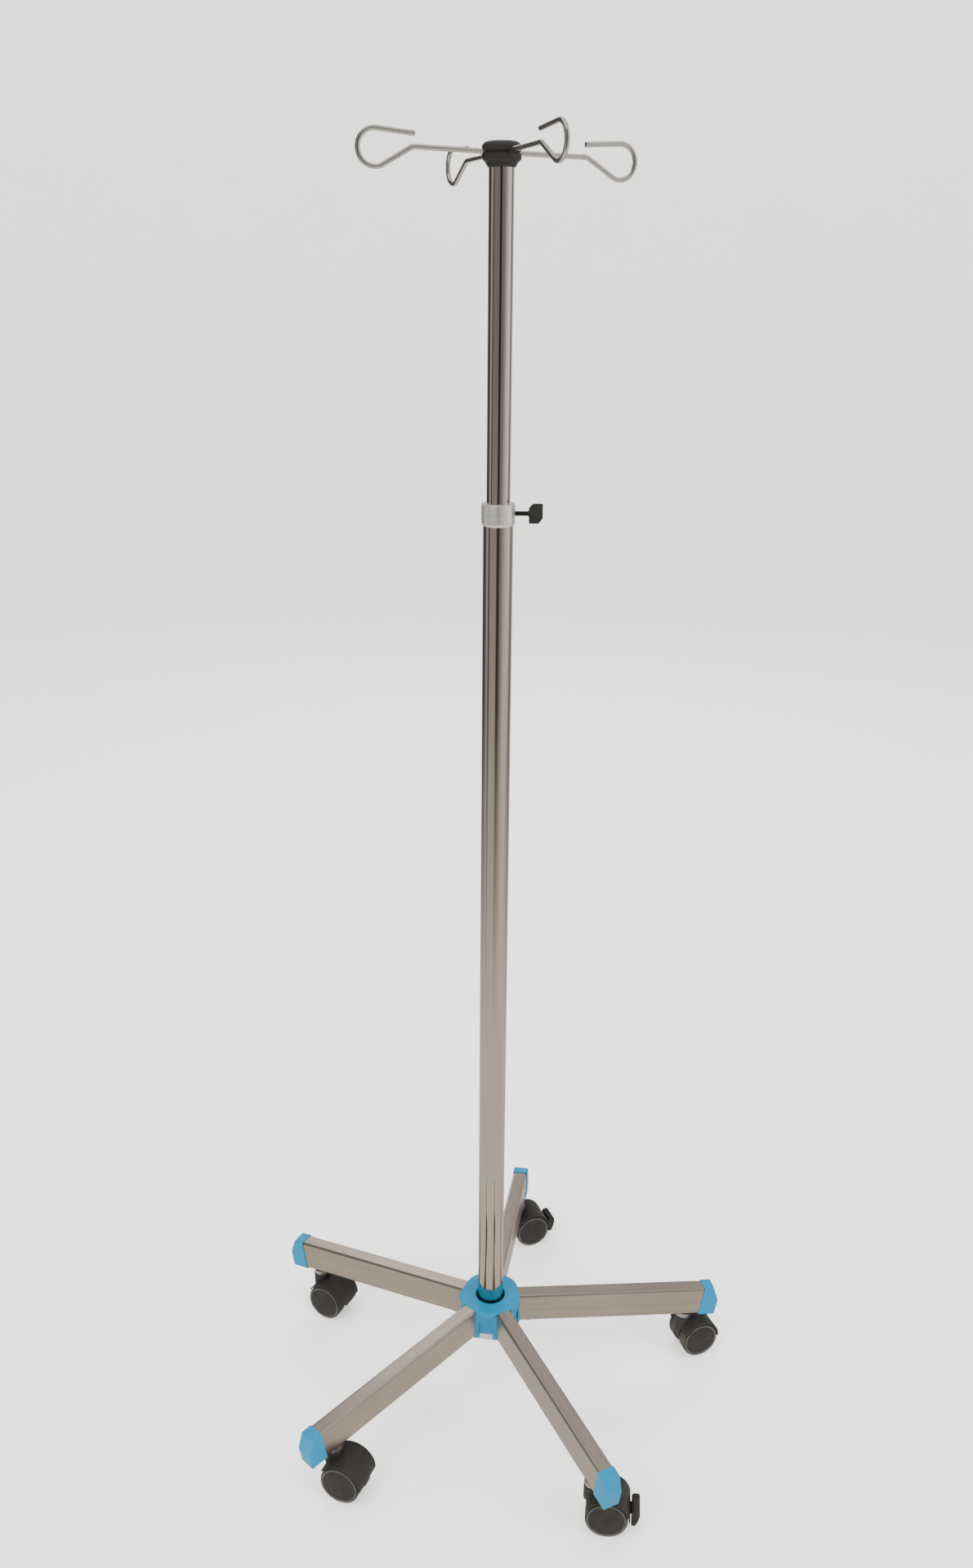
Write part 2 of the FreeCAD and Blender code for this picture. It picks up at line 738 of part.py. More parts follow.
def make_pedal(number):
    body = new_body(f"pedal_{number}", caster_frame(number))
    outline = new_sketch(body, "XZ_Plane")
    inner = "@caster_trail + @pedal_inner_reach"
    outer = "@caster_trail + @pedal_outer_reach"
    low = "@wheel_radius - @pedal_drop"
    high = "@wheel_radius + @pedal_rise"
    add_polygon(outline, (
        (inner, low),
        (f"{outer} - 5", low),
        (f"{outer} - 1.6", f"{low} + 7.5"),
        (outer, f"{high} - 7"),
        (f"{outer} - 0.2", f"{high} - 2"),
        (f"{outer} - 1.6", high),
        (f"{inner} + 2.1", high),
        (inner, f"{high} - 2"),
    ))
    pad(body, outline, "2 * @pedal_half_width", side="Symmetric")
    round_edges(body, "1.2", lambda edge: edge.Vertexes[0].Z > value("Size.wheel_radius") + 5)
    slot = new_sketch(body, "XY_Plane", "@wheel_radius + @pedal_slot_floor")
    add_polygon(slot, (
        (f"{inner} - 9", "-@pedal_slot_half_width"),
        ("@caster_trail + @pedal_slot_end", "-@pedal_slot_half_width"),
        ("@caster_trail + @pedal_slot_end", "@pedal_slot_half_width"),
        (f"{inner} - 9", "@pedal_slot_half_width"),
    ))
    pocket(body, slot, "@pedal_slot_floor + @pedal_drop + 1")
    pin = new_sketch(body, "XZ_Plane")
    pivot_x = "@caster_trail + @pedal_pivot_reach"
    add_circle(pin, "@pedal_pin_radius", pivot_x, "@wheel_radius - @pedal_pivot_drop")
    pad(body, pin, "2 * @pedal_half_width - 2", side="Symmetric")
    keep(body, f"brake_pedal_{number}")


# ---------------------------------------------------------------- lower tube and clamp

def screw_hole(radius, reach):
    """Tool along the clamp screw's axis, from the pole's axis to a reach."""
    return cylinder(radius, reach, clamp_frame())


def make_lower_tube():
    inner = "@lower_tube_inner_radius"
    body = tube("pole_tube", "@lower_tube_radius", inner, "@lower_tube_bottom", "@lower_tube_top")
    keep(cut(body, [screw_hole("@window_radius", "20")]), "lower_tube")


def make_clamp_collar():
    profile = (
        ("@lower_tube_radius", "@collar_low"),
        ("@lower_tube_radius + 0.4", "@collar_low"),
        ("@collar_outer_radius", "@collar_low + 1.5 * @collar_bevel"),
        ("@collar_outer_radius", "@collar_high - 0.6"),
        ("@collar_outer_radius - 0.6", "@collar_high"),
        ("@collar_mouth_radius + 0.5", "@collar_high"),
        ("@collar_mouth_radius", "@collar_high - 0.5"),
        ("@collar_mouth_radius", "@lower_tube_top"),
        ("@lower_tube_radius", "@lower_tube_top"),
    )
    body = turned_part("collar_ring", profile)
    keep(cut(body, [screw_hole("@stud_radius + @running_clearance", "30")]), "clamp_collar")


def make_guide_bush():
    inner = "@upper_tube_radius + @running_clearance"
    body = tube("bush_ring", "@lower_tube_inner_radius", inner, "@bush_bottom", "@bush_top")
    keep(cut(body, [screw_hole("@window_radius", "20")]), "guide_bush")


def make_clamp():
    pad_place = clamp_frame() * at(0, 0, value("Size.pad_inner_reach"))
    keep(cylinder("@pad_radius", "@pad_thickness", pad_place), "clamp_pad")
    stud_place = clamp_frame() * at(0, 0, value("Size.stud_start_reach"))
    keep(cylinder("@stud_radius", "@stud_end_reach - @stud_start_reach", stud_place), "clamp_stud")
    make_wing()


def make_wing():
    """Flat wing with two cut corners, on the clamp screw's axis; its X axis points down."""
    body = new_body("wing_blank", clamp_frame())
    outline = new_sketch(body, "XZ_Plane")
    add_polygon(outline, (
        ("-@wing_half_height + @wing_bevel", "@wing_start_reach"),
        ("-@wing_half_height", "@wing_start_reach + @wing_bevel"),
        ("-@wing_half_height", "@wing_end_reach"),
        ("@wing_half_height - 1.3 * @wing_bevel", "@wing_end_reach"),
        ("@wing_half_height", "@wing_end_reach - @wing_bevel"),
        ("@wing_half_height", "@wing_start_reach"),
    ))
    pad(body, outline, "@wing_thickness", side="Symmetric")
    round_edges(body, "0.8", lambda edge: True)
    boss = new_sketch(body, "XY_Plane", "@wing_start_reach - 0.8")
    add_circle(boss, "@wing_boss_radius")
    pad(body, boss, "9")
    hole = cylinder("@stud_radius", "@stud_end_reach", clamp_frame())
    keep(cut(body, [hole]), "clamp_wing")


# ---------------------------------------------------------------- mast

def make_mast_tube():
    radii = ("@upper_tube_radius", "@upper_tube_inner_radius")
    keep(tube("mast_tube", *radii, "@upper_tube_bottom", "@upper_tube_top"), "upper_tube")


def make_mast_foot():
    inner = "@upper_tube_radius + @running_clearance"
    ring_top = "@guide_ring_bottom + @guide_ring_height"
    keep(tube("slide_ring", "@guide_ring_radius", inner, "@guide_ring_bottom", ring_top), "guide_ring")
    stop_bottom = f"{ring_top} + @ring_gap"
    keep(tube(
        "shoulder_ring", "@foot_flange_radius", "@upper_tube_radius",
        f"({stop_bottom})", f"({stop_bottom} + @stop_ring_height)",
    ), "stop_ring")
    profile = (
        ("0", "@foot_flange_bottom"),
        ("@foot_flange_radius - 0.5", "@foot_flange_bottom"),
        ("@foot_flange_radius", "@foot_flange_bottom + 0.5"),
        ("@foot_flange_radius", "@upper_tube_bottom"),
        ("@upper_tube_inner_radius", "@upper_tube_bottom"),
        ("@upper_tube_inner_radius", "@upper_tube_bottom + @foot_plug_length"),
        ("0", "@upper_tube_bottom + @foot_plug_length"),
    )
    keep(turned_part("tube_plug", profile), "foot_plug")


def hook_frames():
    """On the pole's axis at the head's parting face, with X along each hook's arm."""
    parting = at(0, 0, value("Size.head_parting"))
    frames = []
    for index, rise in enumerate(HOOK_RISES):
        azimuth = value("Size.hook_first_azimuth") + 360 / len(HOOK_RISES) * index
        frames.append(parting * turned(Z_AXIS, azimuth) * turned(Y_AXIS, -rise))
    return frames


def hook_channels():
    """Tools for the wires that are held between the head's two halves."""
    along_arm = at(value("Size.hook_inner_end"), 0, 0) * turned(Y_AXIS, 90)
    return [cylinder("@hook_wire_radius", "30", frame * along_arm) for frame in hook_frames()]


def make_head():
    body_profile = (
        ("0", "@head_plug_bottom"),
        ("@upper_tube_inner_radius", "@head_plug_bottom"),
        ("@upper_tube_inner_radius", "@upper_tube_top"),
        ("@upper_tube_radius", "@upper_tube_top"),
        ("@upper_tube_radius", "@head_bottom"),
        ("@upper_tube_radius + 0.9", "@head_bottom"),
        ("@upper_tube_radius + 2.6", "@head_bottom + 2.2"),
        ("@upper_tube_radius + 2.9", "@head_bottom + 3.4"),
        ("@head_radius - 0.3", "@head_bottom + 6.8"),
        ("@head_radius", "@head_bottom + 7.8"),
        ("@head_radius", "@head_parting - 1.6"),
        ("@head_waist_radius", "@head_parting"),
        ("0", "@head_parting"),
    )
    cap_profile = (
        ("0", "@head_parting"),
        ("@head_waist_radius", "@head_parting"),
        ("@head_radius", "@head_parting + 1.8"),
        ("@head_radius", "@head_top - 3.8"),
        ("@head_radius - 1.8", "@head_top - 1.7"),
        ("@head_radius - 4.4", "@head_top - 0.4"),
        ("@head_flat_radius", "@head_top"),
        ("0", "@head_top"),
    )
    drill = "@head_top - @head_screw_bottom"
    start = at(0, 0, value("Size.head_screw_bottom"))
    sink = at(0, 0, value("Size.head_top - Size.head_screw_head_height"))
    body = turned_part("head_lower", body_profile)
    keep(cut(body, hook_channels() + [cylinder("@head_screw_radius", drill, start)]), "head_body")
    cap = turned_part("head_upper", cap_profile)
    recess = cylinder("@head_screw_head_radius", "@head_screw_head_height", sink)
    keep(cut(cap, hook_channels() + [cylinder("@head_screw_radius", drill, start), recess]), "head_cap")
    shank = cylinder("@head_screw_radius", f"{drill} - @head_screw_head_height", start)
    head = cylinder("@head_screw_head_radius", "@head_screw_head_height - 0.3", sink)
    keep(fused([shank, head]), "head_screw")


def make_hook(number, frame):
    """Bent wire: a straight arm, a short drop and a loop that turns back over the arm."""
    body = new_body(f"hook_{number}", frame)
    path = new_sketch(body, "XZ_Plane")
    start = FreeCAD.Vector(value("Size.hook_inner_end"), 0, 0)
    bend_start = FreeCAD.Vector(value("Size.hook_bend_reach"), 0, 0)
    bend = value("Size.hook_bend_radius")
    drop = math.radians(30)
    bend_centre = bend_start - FreeCAD.Vector(0, bend, 0)
    bend_end = bend_centre + FreeCAD.Vector(bend * math.sin(drop), bend * math.cos(drop), 0)
    loop = value("Size.hook_loop_radius")
    centre = FreeCAD.Vector(value("Size.hook_loop_reach"), -value("Size.hook_loop_drop"), 0)
    loop_start = centre - FreeCAD.Vector(loop * math.sin(drop), loop * math.cos(drop), 0)
    loop_end = centre + FreeCAD.Vector(0, loop, 0)
    tip = FreeCAD.Vector(value("Size.hook_tip_reach"), value("Size.hook_tip_rise"), 0)

    arm = path.addGeometry(Part.LineSegment(start, bend_start))
    elbow = path.addGeometry(Part.ArcOfCircle(
        Part.Circle(bend_centre, Z_AXIS, bend), math.pi / 2 - drop, math.pi / 2))
    slope = path.addGeometry(Part.LineSegment(bend_end, loop_start))
    ring = path.addGeometry(Part.ArcOfCircle(
        Part.Circle(centre, Z_AXIS, loop), 1.5 * math.pi - drop, 2.5 * math.pi))
    finger = path.addGeometry(Part.LineSegment(loop_end, tip))
    fix_point(path, arm, 1, "@hook_inner_end", "0")
    fix_point(path, arm, 2, "@hook_bend_reach", "0")
    path.addConstraint(Sketcher.Constraint("Tangent", arm, 2, elbow, 2))
    fix_radius(path, elbow, "@hook_bend_radius")
    path.addConstraint(Sketcher.Constraint("Tangent", elbow, 1, slope, 1))
    path.addConstraint(Sketcher.Constraint("Tangent", slope, 2, ring, 1))
    fix_point(path, ring, 3, "@hook_loop_reach", "-@hook_loop_drop")
    fix_radius(path, ring, "@hook_loop_radius")
    path.addConstraint(Sketcher.Constraint("Tangent", ring, 2, finger, 1))
    fix_point(path, finger, 2, "@hook_tip_reach", "@hook_tip_rise")

    section = new_sketch(body, "YZ_Plane", "@hook_inner_end")
    add_circle(section, "@hook_wire_radius")
    DOC.recompute()
    pipe = body.newObject("PartDesign::AdditivePipe", f"{body.Name}_pipe")
    pipe.Profile = section
    pipe.Spine = path
    keep(body, f"hook_{number}")


# ---------------------------------------------------------------- build and export

def build():
    fill_sheet()
    make_hub_shell()
    tube_core = tube("core_sleeve", "@hub_bore_radius", "@lower_tube_radius", "@hub_bottom", "@core_top")
    keep(tube_core, "hub_core")
    make_base_plate()
    make_fasteners()
    for number in leg_numbers():
        make_leg(number)
        make_end_cap(number)
        make_stem(number)
        make_hood(number)
        make_axle(number)
        make_wheel(number, "left", -90)
        make_wheel(number, "right", 90)
    for number in BRAKED_CASTERS:
        make_pedal(number)
    make_lower_tube()
    make_clamp_collar()
    make_guide_bush()
    make_clamp()
    make_mast_tube()
    make_mast_foot()
    make_head()
    for number, frame in enumerate(hook_frames(), start=1):
        make_hook(number, frame)
    DOC.recompute()


def check():
    for feature in DOC.Objects:
        if "Invalid" in feature.State or "Error" in feature.State:
            raise RuntimeError(f"{feature.Label}: {feature.State}")
    for feature in nodes:
        if feature.Shape.isNull() or not feature.Shape.isValid():
            raise RuntimeError(f"{feature.Label}: bad shape")


def export():
    os.makedirs("parts", exist_ok=True)
    for feature in nodes:
        feature.Shape.exportStep(f"parts/{feature.Label}.step")


build()
check()
export()
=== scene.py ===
import json
import math

import bmesh
import bpy
from mathutils import Matrix, Vector


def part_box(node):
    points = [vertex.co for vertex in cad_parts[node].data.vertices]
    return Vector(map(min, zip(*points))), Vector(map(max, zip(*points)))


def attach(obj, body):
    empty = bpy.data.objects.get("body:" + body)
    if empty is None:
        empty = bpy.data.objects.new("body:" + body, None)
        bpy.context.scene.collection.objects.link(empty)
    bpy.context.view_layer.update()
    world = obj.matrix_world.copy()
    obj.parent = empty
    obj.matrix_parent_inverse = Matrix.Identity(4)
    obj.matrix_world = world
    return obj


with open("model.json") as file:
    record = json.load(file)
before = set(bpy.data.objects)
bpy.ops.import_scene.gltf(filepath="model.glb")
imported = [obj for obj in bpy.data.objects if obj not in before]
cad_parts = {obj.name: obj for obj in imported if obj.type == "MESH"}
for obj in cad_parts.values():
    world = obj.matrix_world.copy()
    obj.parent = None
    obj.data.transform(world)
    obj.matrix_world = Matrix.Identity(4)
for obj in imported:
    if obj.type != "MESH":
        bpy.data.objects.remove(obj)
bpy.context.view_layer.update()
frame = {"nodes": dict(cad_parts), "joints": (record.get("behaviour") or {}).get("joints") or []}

# Lengths are metres and angles are degrees, in the stand's own frame: the origin is on the floor under
# the pole, Z is up and leg 1 runs along +Y.

LEG_COUNT = 5
FIRST_LEG_AZIMUTH = 90
LEG_SLOPE = 4.87
BRAKED_CASTERS = (1, 4)

CAMERA_PLACE = (0.2138, -1.4189, 1.3814)
CAMERA_AZIMUTH = 98.97
CAMERA_PITCH = -20.8
CAMERA_ROLL = 0.43
CAMERA_LENS = 31.43
SENSOR_LONG_SIDE = 36

# Brightness of the surround's panels, low down and high up, by azimuth from the camera's side.
SURROUND_BANDS = (
    (-180, 0.7, 0.7),
    (-173, 1.5, 1.5),
    (-158, 1.5, 1.5),
    (-150, 0.12, 0.1),
    (-108, 0.1, 0.07),
    (-92, 0.42, 0.5),
    (-80, 0.42, 0.5),
    (-74, 0.08, 0.12),
    (-66, 0.08, 0.12),
    (-60, 0.5, 0.27),
    (-14, 0.5, 0.27),
    (-6, 0.05, 0.03),
    (6, 0.05, 0.03),
    (12, 0.15, 0.24),
    (34, 0.5, 0.3),
    (44, 0.8, 0.4),
    (76, 0.8, 1.1),
    (96, 0.5, 1.4),
    (112, 0.3, 0.3),
    (124, 0.1, 0.2),
    (138, 0.5, 1.0),
    (152, 0.6, 0.6),
    (172, 0.6, 0.58),
    (180, 0.7, 0.7),
)
SURROUND_REACH = 1.55
SURROUND_BOTTOM = 0.004
SURROUND_TOP = 3.2
# Heights between which the low brightness turns into the high one.
BAND_HEIGHTS = (0.3, 1.2)
# Glow of the surround's floor, and the levels between which it turns into the bands. On the floor the level
# is the distance from the rim, below zero; on the wall it is the height.
FOOT_GLOW = (0.88, 0.82, 0.74, 1)
FOOT_LEVELS = (-0.75, 0.45)

# Tint of the surround and of the sky.
WARM = (1.0, 0.97, 0.93)
# Sides of the surround and of the floor, both nearly round.
STUDIO_SIDES = 96

# The floor starts beside the axis, is flat as far as its bend and ends at the top of its wall.
FLOOR_START = 0.001
FLOOR_FLAT = 5.0
FLOOR_BEND = 2.5
FLOOR_BEND_STEPS = 12
FLOOR_WALL = 5.0
PAPER = (0.86, 0.86, 0.855, 1)
PAPER_LIGHT = (0.88, 0.88, 0.875, 1)
PAPER_GLOW = 0.55

# Name, azimuth, reach, height, width, height of the panel and watts.
SOFTBOXES = (
    ("key_light", -130, 2.6, 2.4, 1.4, 2.0, 70),
    ("fill_light", -20, 3.0, 1.9, 1.2, 2.2, 45),
    ("rim_light", 95, 3.0, 2.6, 2.0, 1.2, 60),
    ("top_light", -60, 0.8, 3.6, 2.6, 2.6, 70),
)
AIM_HEIGHT = 0.7

PLASTIC_SPECULAR = 0.25
# Distances from a wheel's axis over which the painted highlight on its bevel fades in and out and its tread
# scuffs fade in.
BEVEL_HIGHLIGHT_IN = (0.0208, 0.0216)
BEVEL_HIGHLIGHT_OUT = (0.0229, 0.0236)
TREAD_IN = (0.0243, 0.0248)
# Turning marks on a wheel's face, in radians per metre outwards.
TURNING_LINES = 5200.0

# Cross of the head's screw, a dark piece that paints the shade in its recess: its arms' length and half
# width, and its ends below and above the screw's top.
CROSS_ARM = 0.0024
CROSS_HALF_WIDTH = 0.00045
CROSS_DEPTH = 0.0003
CROSS_RISE = 0.00005

# Rib centres from the pedal's pivot, outwards from the caster's swivel, and the ribs' ends across it.
RIB_REACHES = (0.0017, 0.0031, 0.0045)
RIB_HALF_WIDTH = 0.00035
RIB_START = 0.0064
RIB_END = 0.0114
RIB_HEIGHT = 0.0005
RIB_DEPTH = 0.0004

NODES = frame["nodes"]


# ---------------------------------------------------------------- shader helpers

class Surface:
    """A material with one Principled shader, built up from procedural textures."""

    def __init__(self, name, roughness, metallic=0.0):
        self.material = bpy.data.materials.new(name)
        self.material.use_nodes = True
        self.nodes = self.material.node_tree.nodes
        self.links = self.material.node_tree.links
        self.shader = self.nodes["Principled BSDF"]
        self.shader.inputs["Roughness"].default_value = roughness
        self.shader.inputs["Metallic"].default_value = metallic
        self.place = self.nodes.new("ShaderNodeTexCoord").outputs["Object"]

    def math(self, operation, *values):
        node = self.nodes.new("ShaderNodeMath")
        node.operation = operation
        for socket, value in zip(node.inputs, values):
            self.feed(socket, value)
        return node.outputs[0]

    def vector(self, operation, *values):
        node = self.nodes.new("ShaderNodeVectorMath")
        node.operation = operation
        for socket, value in zip(node.inputs, values):
            self.feed(socket, value)
        return node.outputs["Value" if operation in ("LENGTH", "DOT_PRODUCT") else "Vector"]

    def feed(self, socket, value):
        if isinstance(value, bpy.types.NodeSocket):
            self.links.new(value, socket)
        else:
            socket.default_value = value

    def along(self, azimuth=0.0, slope=0.0):
        """Object coordinates turned so that X runs along a leg with this azimuth and fall."""
        node = self.nodes.new("ShaderNodeMapping")
        node.vector_type = "TEXTURE"
        node.inputs["Rotation"].default_value = (0, math.radians(slope), math.radians(azimuth))
        self.links.new(self.place, node.inputs["Vector"])
        return node.outputs["Vector"]

    def noise(self, scale, stretch=(1, 1, 1), detail=4.0, roughness=0.55, place=None):
        """Noise from 0 to 1. A stretch below 1 along an axis draws the grain out along it."""
        scaled = self.vector("MULTIPLY", place or self.place, stretch)
        node = self.nodes.new("ShaderNodeTexNoise")
        node.inputs["Scale"].default_value = scale
        node.inputs["Detail"].default_value = detail
        node.inputs["Roughness"].default_value = roughness
        self.links.new(scaled, node.inputs["Vector"])
        return node.outputs["Fac"]

    def between(self, factor, low, high, start=0.3, end=0.7):
        """Number that goes from low to high as the factor goes from start to end."""
        node = self.nodes.new("ShaderNodeMapRange")
        self.links.new(factor, node.inputs["Value"])
        node.inputs["From Min"].default_value = start
        node.inputs["From Max"].default_value = end
        node.inputs["To Min"].default_value = low
        node.inputs["To Max"].default_value = high
        return node.outputs["Result"]

    def blend(self, factor, first, second):
        node = self.nodes.new("ShaderNodeMix")
        node.data_type = "RGBA"
        self.feed(node.inputs["Factor"], factor)
        colours = [socket for socket in node.inputs if socket.type == "RGBA"]
        for socket, value in zip(colours, (first, second)):
            self.feed(socket, value)
        return next(socket for socket in node.outputs if socket.type == "RGBA")

    def colour(self, socket):
        self.links.new(socket, self.shader.inputs["Base Color"])

    def rough(self, socket):
        self.links.new(socket, self.shader.inputs["Roughness"])

    def relief(self, factor, depth, strength=1.0):
        """Bump of the factor's height, chained after any bump already there."""
        node = self.nodes.new("ShaderNodeBump")
        node.inputs["Distance"].default_value = depth
        node.inputs["Strength"].default_value = strength
        self.links.new(factor, node.inputs["Height"])
        shader_normal = self.shader.inputs["Normal"]
        if shader_normal.is_linked:
            self.links.new(shader_normal.links[0].from_socket, node.inputs["Normal"])
        self.links.new(node.outputs["Normal"], shader_normal)


def rgb(red, green, blue):
    """Colour given as screen values from 0 to 255."""
    def linear(level):
        level /= 255
        return level / 12.92 if level <= 0.04045 else ((level + 0.055) / 1.055) ** 2.4
    return (linear(red), linear(green), linear(blue), 1.0)


# ---------------------------------------------------------------- materials

def moulded_plastic(name, base, shade, roughness, grain=0.00004):
    """Moulded plastic with a fine grain, faint flow marks and some dust."""
    surface = Surface(name, roughness)
    surface.shader.inputs["Specular IOR Level"].default_value = PLASTIC_SPECULAR
    clouds = surface.noise(18, detail=3)
    specks = surface.noise(900, detail=2)
    mixed = surface.blend(surface.between(clouds, 0, 1), base, shade)
    surface.colour(surface.blend(surface.between(specks, 0, 0.25, 0.55, 0.75), mixed, shade))
    surface.rough(surface.between(surface.noise(60), roughness - 0.06, roughness + 0.08))
    surface.relief(surface.noise(1400, detail=2), grain)
    return surface.material


def brushed_leg(name, azimuth):
    """Stainless sheet, ground along the leg."""
    surface = Surface(name, 0.34, metallic=1.0)
    place = surface.along(azimuth, LEG_SLOPE)
    lines = surface.noise(260, (0.012, 1, 1), detail=5, roughness=0.7, place=place)
    broad = surface.noise(30, (0.05, 1, 1), detail=3, place=place)
    wear_and_highlight = surface.noise(9, detail=4)
    steel = surface.blend(surface.between(lines, 0, 1), rgb(176, 167, 154), rgb(198, 190, 178))
    surface.colour(surface.blend(surface.between(wear_and_highlight, 0, 0.35), steel, rgb(158, 149, 136)))
    surface.rough(surface.between(broad, 0.2, 0.34))
    surface.relief(lines, 0.00003, 0.6)
    return surface.material


def polished_tube(name, tone, dark, roughness):
    """Drawn stainless tube: fine lines along it and slight waves that break up its reflections."""
    surface = Surface(name, roughness, metallic=1.0)
    lines = surface.noise(700, (1, 1, 0.004), detail=3)
    waves = surface.noise(26, (1, 1, 0.12), detail=2)
    smears = surface.noise(14, (1, 1, 0.35), detail=4)
    surface.colour(surface.blend(surface.between(lines, 0, 0.6), tone, dark))
    surface.rough(surface.between(smears, roughness - 0.03, roughness + 0.05))
    surface.relief(waves, 0.0004, 0.35)
    surface.relief(lines, 0.00001, 0.4)
    return surface.material


def turned_aluminium(name):
    """Satin aluminium with the fine rings left by turning."""
    surface = Surface(name, 0.25, metallic=0.88)
    rings = surface.noise(900, (0.02, 0.02, 1), detail=3)
    clouds = surface.noise(40, detail=3)
    bright = surface.blend(surface.between(rings, 0, 1), rgb(222, 221, 219), rgb(246, 245, 243))
    surface.colour(surface.blend(surface.between(clouds, 0, 0.3), bright, rgb(210, 209, 206)))
    surface.rough(surface.between(clouds, 0.2, 0.3))
    surface.relief(rings, 0.00002, 0.5)
    return surface.material


def plated_steel(name, dull, bright):
    """Plated steel with a faint mottled spangle."""
    surface = Surface(name, 0.38, metallic=1.0)
    spangle = surface.noise(160, detail=5, roughness=0.7)
    surface.colour(surface.blend(surface.between(spangle, 0, 1), dull, bright))
    surface.rough(surface.between(spangle, 0.3, 0.5))
    surface.relief(surface.noise(700), 0.00002)
    return surface.material


def wheel_nylon(name, centre, axis):
    """Black nylon wheel: scuffed tread, a painted highlight on its bevel broken up by noise, and faint
    turning marks on its face.
    """
    surface = Surface(name, 0.5)
    surface.shader.inputs["Specular IOR Level"].default_value = PLASTIC_SPECULAR
    outward = surface.vector("SUBTRACT", surface.place, centre)
    reach = surface.vector("LENGTH", surface.vector("CROSS_PRODUCT", outward, axis))
    base = rgb(32, 31, 29)
    clouds = surface.noise(55, detail=4)
    mottled = surface.blend(surface.between(clouds, 0, 1), base, rgb(40, 38, 36))
    # Painted highlight: a lighter band on the wheel's bevel, where the bevel catches the light, broken up
    # by noise.
    highlight_start = surface.between(reach, 0, 1, *BEVEL_HIGHLIGHT_IN)
    highlight_end = surface.between(reach, 1, 0, *BEVEL_HIGHLIGHT_OUT)
    band = surface.math("MULTIPLY", highlight_start, highlight_end)
    highlight_breakup = surface.between(surface.noise(130, detail=5), 0.35, 1)
    wear_and_highlight = surface.blend(surface.math("MULTIPLY", band, highlight_breakup), mottled, rgb(84, 81, 78))
    scuffs = surface.math("MULTIPLY", surface.between(reach, 0, 1, *TREAD_IN), clouds)
    surface.colour(surface.blend(scuffs, wear_and_highlight, rgb(70, 67, 64)))
    surface.rough(surface.between(surface.noise(90), 0.42, 0.6))
    surface.relief(surface.noise(1300, detail=2), 0.00005)
    surface.relief(surface.math("SINE", surface.math("MULTIPLY", reach, TURNING_LINES)), 0.00001, 0.4)
    return surface.material


def paint(node, material):
    """Give a CAD node this material in every slot."""
    mesh = NODES[node].data
    mesh.materials.clear()
    mesh.materials.append(material)


def node_names(prefix, suffix=""):
    return [name for name in NODES if name.startswith(prefix) and name.endswith(suffix)]


def paint_stand():
    """Give every CAD node its material. Returns the two that the extra pieces use too."""
    blue = moulded_plastic("blue_moulding", rgb(0, 117, 157), rgb(0, 106, 146), 0.32)
    grey = moulded_plastic("grey_moulding", rgb(176, 178, 180), rgb(160, 162, 164), 0.5)
    black = moulded_plastic("black_nylon", rgb(42, 40, 38), rgb(35, 33, 32), 0.52, 0.00006)
    head = moulded_plastic("head_moulding", rgb(38, 37, 36), rgb(30, 29, 28), 0.42)
    acetal = moulded_plastic("acetal", rgb(214, 212, 204), rgb(198, 196, 188), 0.45)
    zinc = plated_steel("zinc_plating", rgb(176, 176, 174), rgb(205, 205, 202))
    oxide = plated_steel("black_oxide", rgb(52, 51, 50), rgb(74, 72, 70))
    aluminium = turned_aluminium("turned_aluminium")
    lower = polished_tube("lower_tube_steel", rgb(208, 197, 184), rgb(190, 179, 166), 0.1)
    upper = polished_tube("upper_tube_steel", rgb(206, 198, 190), rgb(186, 178, 170), 0.05)
    wire = polished_tube("hook_steel", rgb(222, 218, 213), rgb(190, 186, 181), 0.17)
    shared = {
        blue: ["hub_shell"] + node_names("end_cap_"),
        grey: ["hub_base_plate"],
        black: node_names("caster_", "_hood") + node_names("brake_pedal_"),
        head: ["head_body", "head_cap", "clamp_wing"],
        acetal: ["guide_bush", "guide_ring", "stop_ring", "foot_plug", "clamp_pad"],
        oxide: ["clamp_stud"],
        zinc: ["hub_screws", "leg_bolts", "head_screw"]
        + node_names("caster_stem_") + node_names("caster_", "_axle"),
        aluminium: ["clamp_collar", "hub_core"],
        lower: ["lower_tube"],
        upper: ["upper_tube"],
        wire: node_names("hook_"),
    }
    for material, names in shared.items():
        for name in names:
            paint(name, material)
    for number in range(1, LEG_COUNT + 1):
        azimuth = FIRST_LEG_AZIMUTH + 360 / LEG_COUNT * (number - 1)
        paint(f"leg_{number}", brushed_leg(f"leg_steel_{number}", azimuth))
    for joint in frame["joints"]:
        if joint["name"].endswith("_spin"):
            _, number, side, _ = joint["name"].split("_")
            node = f"caster_{number}_wheel_{side}"
            paint(node, wheel_nylon(f"nylon_{number}_{side}", joint["pos_m"], joint["axis"]))
    return black, oxide


# ---------------------------------------------------------------- small pieces

def add_prism(name, body, place, outline, low, high, material):
    """Straight-sided piece on a flat outline, fixed to a CAD body."""
    work = bmesh.new()
    foot = [work.verts.new(place @ Vector((*corner, low))) for corner in outline]
    head = [work.verts.new(place @ Vector((*corner, high))) for corner in outline]
    work.faces.new(foot[::-1])
    work.faces.new(head)
    for index, corner in enumerate(foot):
        work.faces.new((foot[index - 1], corner, head[index], head[index - 1]))
    mesh = bpy.data.meshes.new(name)
    work.to_mesh(mesh)
    work.free()
    mesh.materials.append(material)
    piece = bpy.data.objects.new(name, mesh)
    bpy.context.collection.objects.link(piece)
    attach(piece, body)


